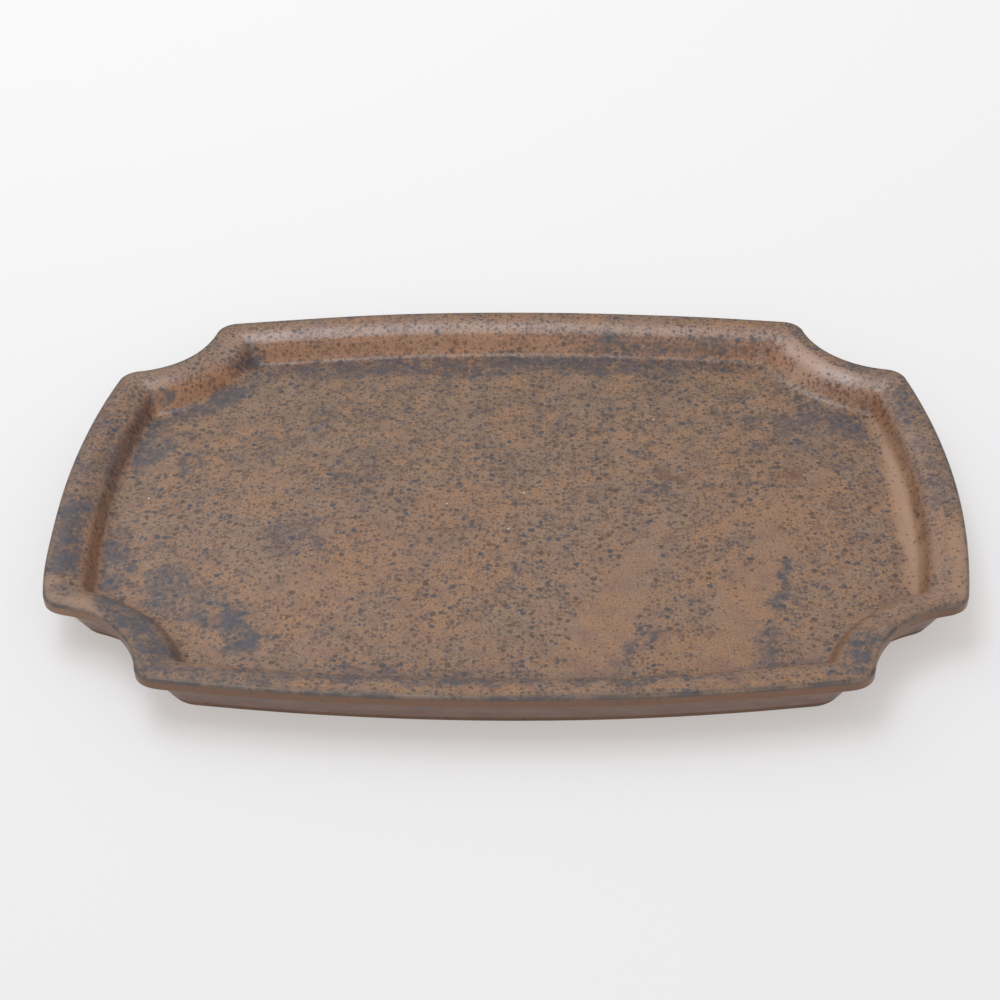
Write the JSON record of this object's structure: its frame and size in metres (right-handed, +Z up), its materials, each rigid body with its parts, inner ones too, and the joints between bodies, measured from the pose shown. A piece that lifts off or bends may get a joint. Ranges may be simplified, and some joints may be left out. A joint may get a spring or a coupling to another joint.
{
  "type": "bonsai tray",
  "caption": "Shallow glazed stoneware tray with bowed sides, scalloped corners, a rolled projecting rim, a flat floor and a low recessed foot.",
  "frame": {"origin": "middle of the foot's contact plane, on the surface that the tray stands on", "axes": "+X along the length, towards the right-hand end; +Y across the width, towards the back; +Z up"},
  "size_m": [0.2, 0.14, 0.013],
  "materials": {
    "glaze": "satin brown glaze, densely speckled with slate blue-grey, thinner and greyer at the rim's edge",
    "bare_clay": "unglazed fired stoneware, matt and slightly gritty"
  },
  "bodies": {
    "root": {"floor_slab": "glaze", "foot_ring": "bare_clay", "wall_front": "glaze", "wall_back": "glaze", "wall_left": "glaze", "wall_right": "glaze", "wall_scallop_front_left": "glaze", "wall_scallop_front_right": "glaze", "wall_scallop_back_left": "glaze", "wall_scallop_back_right": "glaze", "rim_front": "glaze", "rim_back": "glaze", "rim_left": "glaze", "rim_right": "glaze", "rim_scallop_front_left": "glaze", "rim_scallop_front_right": "glaze", "rim_scallop_back_left": "glaze", "rim_scallop_back_right": "glaze"}
  },
  "joints": []
}
